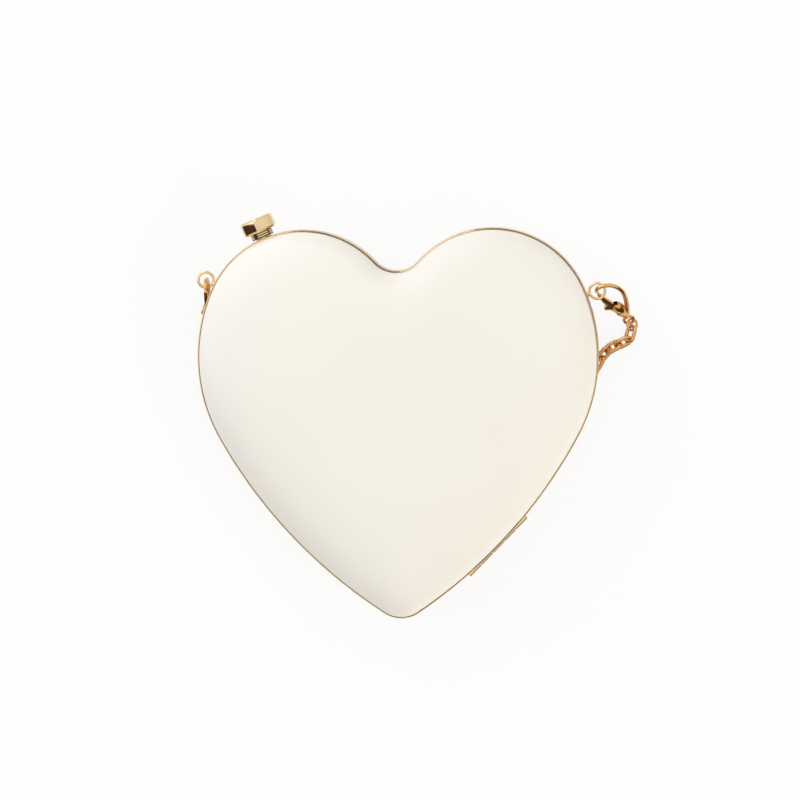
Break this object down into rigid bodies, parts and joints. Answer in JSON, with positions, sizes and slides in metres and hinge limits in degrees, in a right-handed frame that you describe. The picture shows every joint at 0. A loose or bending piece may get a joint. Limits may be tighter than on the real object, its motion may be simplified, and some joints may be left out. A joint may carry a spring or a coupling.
{
  "type": "heart shaped purse",
  "caption": "Hard-shell heart box clutch with a satin cover, metal frame, hinge, push-knob latch, eye rings, lobster clasps and a hand chain.",
  "frame": {"origin": "middle of the flat patch of the back dome that the purse lies on", "axes": "+Z out of the front face, +Y from the tip towards the lobes, +X towards the hinge side and the right eye ring"},
  "size_m": [0.176, 0.1635, 0.04],
  "materials": {
    "ivory_cover": "smooth satin ivory",
    "board": "moulded fibre shell",
    "lining": "soft woven lining",
    "pale_gold": "polished light gold plate",
    "gold": "polished gold plate",
    "steel": "plain spring steel"
  },
  "bodies": {
    "back_half": {"back_frame": "pale_gold", "back_cover": "ivory_cover", "back_shell": "board", "back_lining": "lining", "back_knuckles": "pale_gold", "hinge_pin": "steel", "clasp_collar": "pale_gold", "knob_spring": "steel", "left_eye": "pale_gold", "right_eye": "pale_gold", "right_hook": "gold", "right_rivet": "gold", "right_leaf": "steel", "left_hook": "gold", "left_rivet": "gold", "left_leaf": "steel", "right_jump_ring": "gold", "left_jump_ring": "gold", "chain_links": "gold"},
    "front_half": {"front_frame": "pale_gold", "front_cover": "ivory_cover", "front_shell": "board", "front_lining": "lining", "front_knuckles": "pale_gold", "strike_plate": "pale_gold", "strike_rivets": "pale_gold"},
    "knob": {"clasp_knob": "pale_gold", "stem_washer": "pale_gold", "latch_bolt": "pale_gold", "latch_screw": "steel"},
    "right_lever": {"right_trigger": "gold"},
    "left_lever": {"left_trigger": "gold"}
  },
  "joints": [
    {"name": "lid_open", "type": "hinge", "parent": "back_half", "child": "front_half", "pos_m": [0.03857, -0.06248, 0.02], "axis": [0.7021, 0.712, 0], "range_deg": [0, 100]},
    {"name": "knob_press", "type": "slide", "parent": "back_half", "child": "knob", "axis": [0.3827, -0.9239, 0], "range_m": [0, 0.0022], "stiffness_N_per_m": 900, "deforming": ["knob_spring"]},
    {"name": "right_trigger_turn", "type": "hinge", "parent": "back_half", "child": "right_lever", "pos_m": [0.08788, 0.03075, 0.008], "axis": [0.1003, 0.7504, -0.6533], "range_deg": [0, 3.5], "stiffness_Nm_per_rad": 0.02, "deforming": ["right_leaf"]},
    {"name": "left_trigger_turn", "type": "hinge", "parent": "back_half", "child": "left_lever", "pos_m": [-0.0772, 0.03161, 0.00836], "axis": [-0.9994, 0.0349, 0], "range_deg": [0, 3.5], "stiffness_Nm_per_rad": 0.02, "deforming": ["left_leaf"]}
  ]
}
